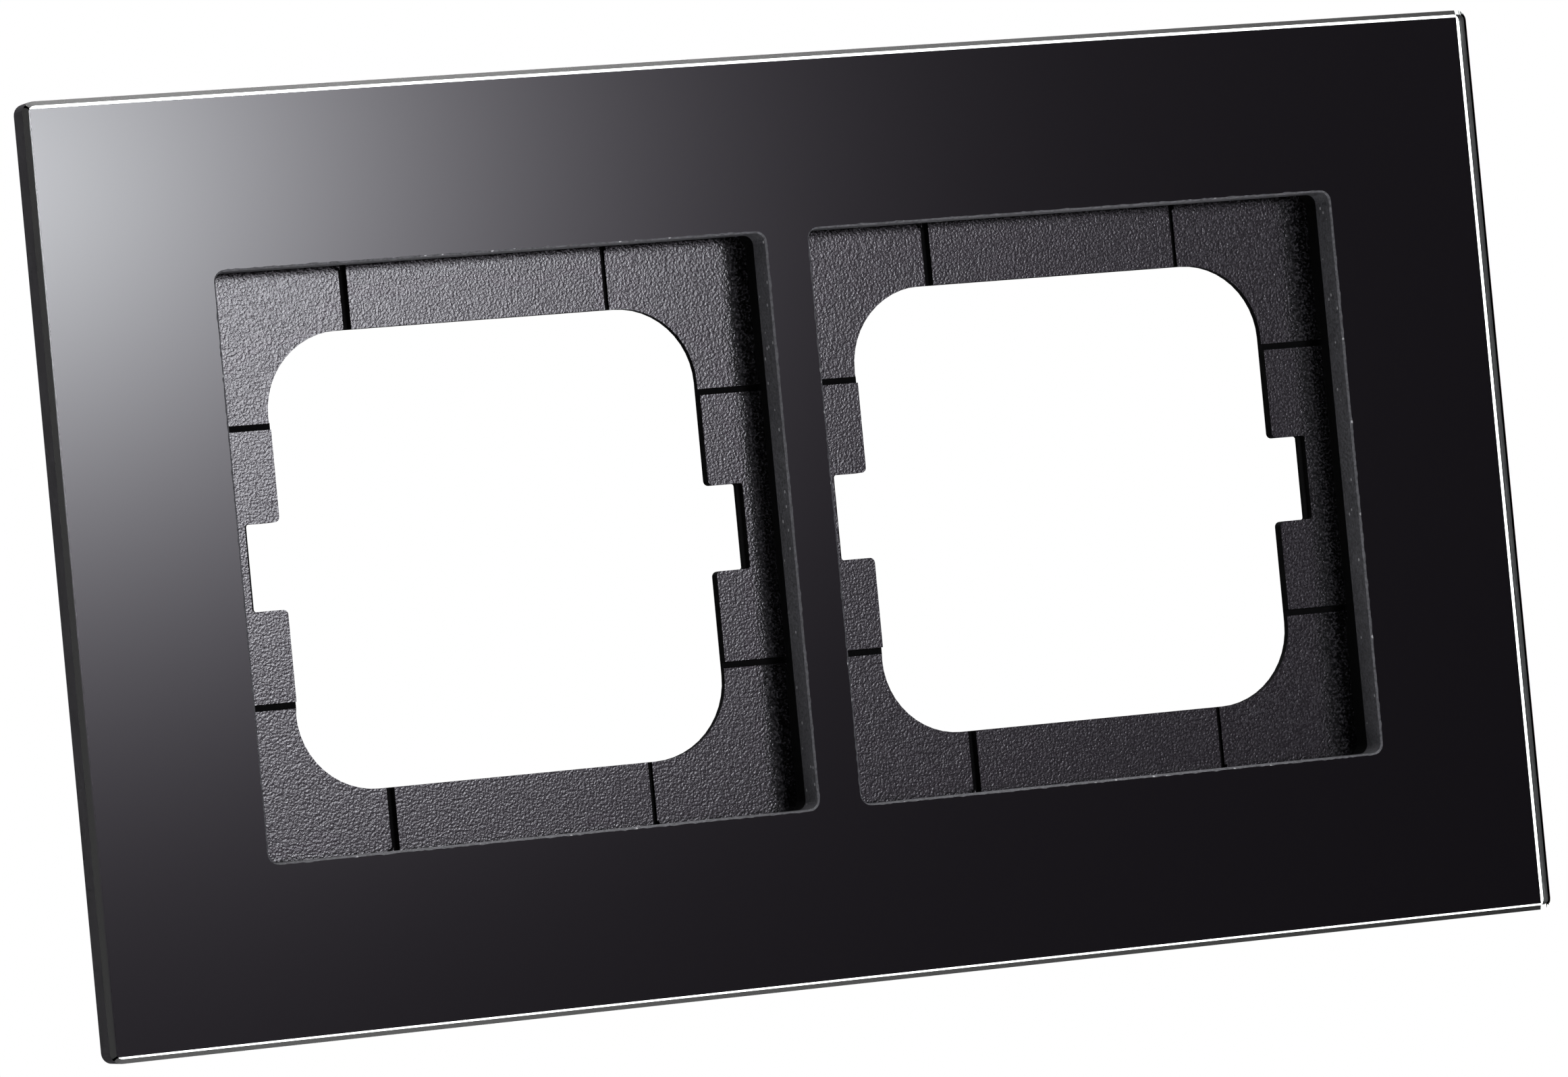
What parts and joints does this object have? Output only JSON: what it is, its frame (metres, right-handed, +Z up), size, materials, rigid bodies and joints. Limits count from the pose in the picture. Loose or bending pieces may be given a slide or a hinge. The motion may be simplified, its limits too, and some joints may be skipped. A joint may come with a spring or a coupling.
{
  "type": "double wiring accessory cover frame",
  "caption": "Flat rectangular cover frame with a black-backed glass front plate on a moulded carrier with square recessed wells that take flush switches or sockets.",
  "frame": {"origin": "middle of the rear plane, where the carrier's rear edges bear on the wall", "axes": "+X to the right along the row of gangs as seen from the room, +Y into the wall, +Z up; the glass face looks along -Y"},
  "size_m": [0.177, 0.01, 0.106],
  "materials": {
    "clear_glass": "polished float glass with fine-ground arrissed edges",
    "black_lacquer": "smooth deep black coat seen through the glass",
    "foam_tape": "matt black closed-cell foam",
    "moulded_carrier": "anthracite plastic with a fine spark-eroded grain"
  },
  "bodies": {
    "root": {"glass_plate": "clear_glass", "back_lacquer": "black_lacquer", "tape_strip_top": "foam_tape", "tape_strip_bottom": "foam_tape", "tape_strip_left": "foam_tape", "tape_strip_right": "foam_tape", "tape_strip_centre": "foam_tape", "carrier_frame": "moulded_carrier"}
  },
  "joints": []
}
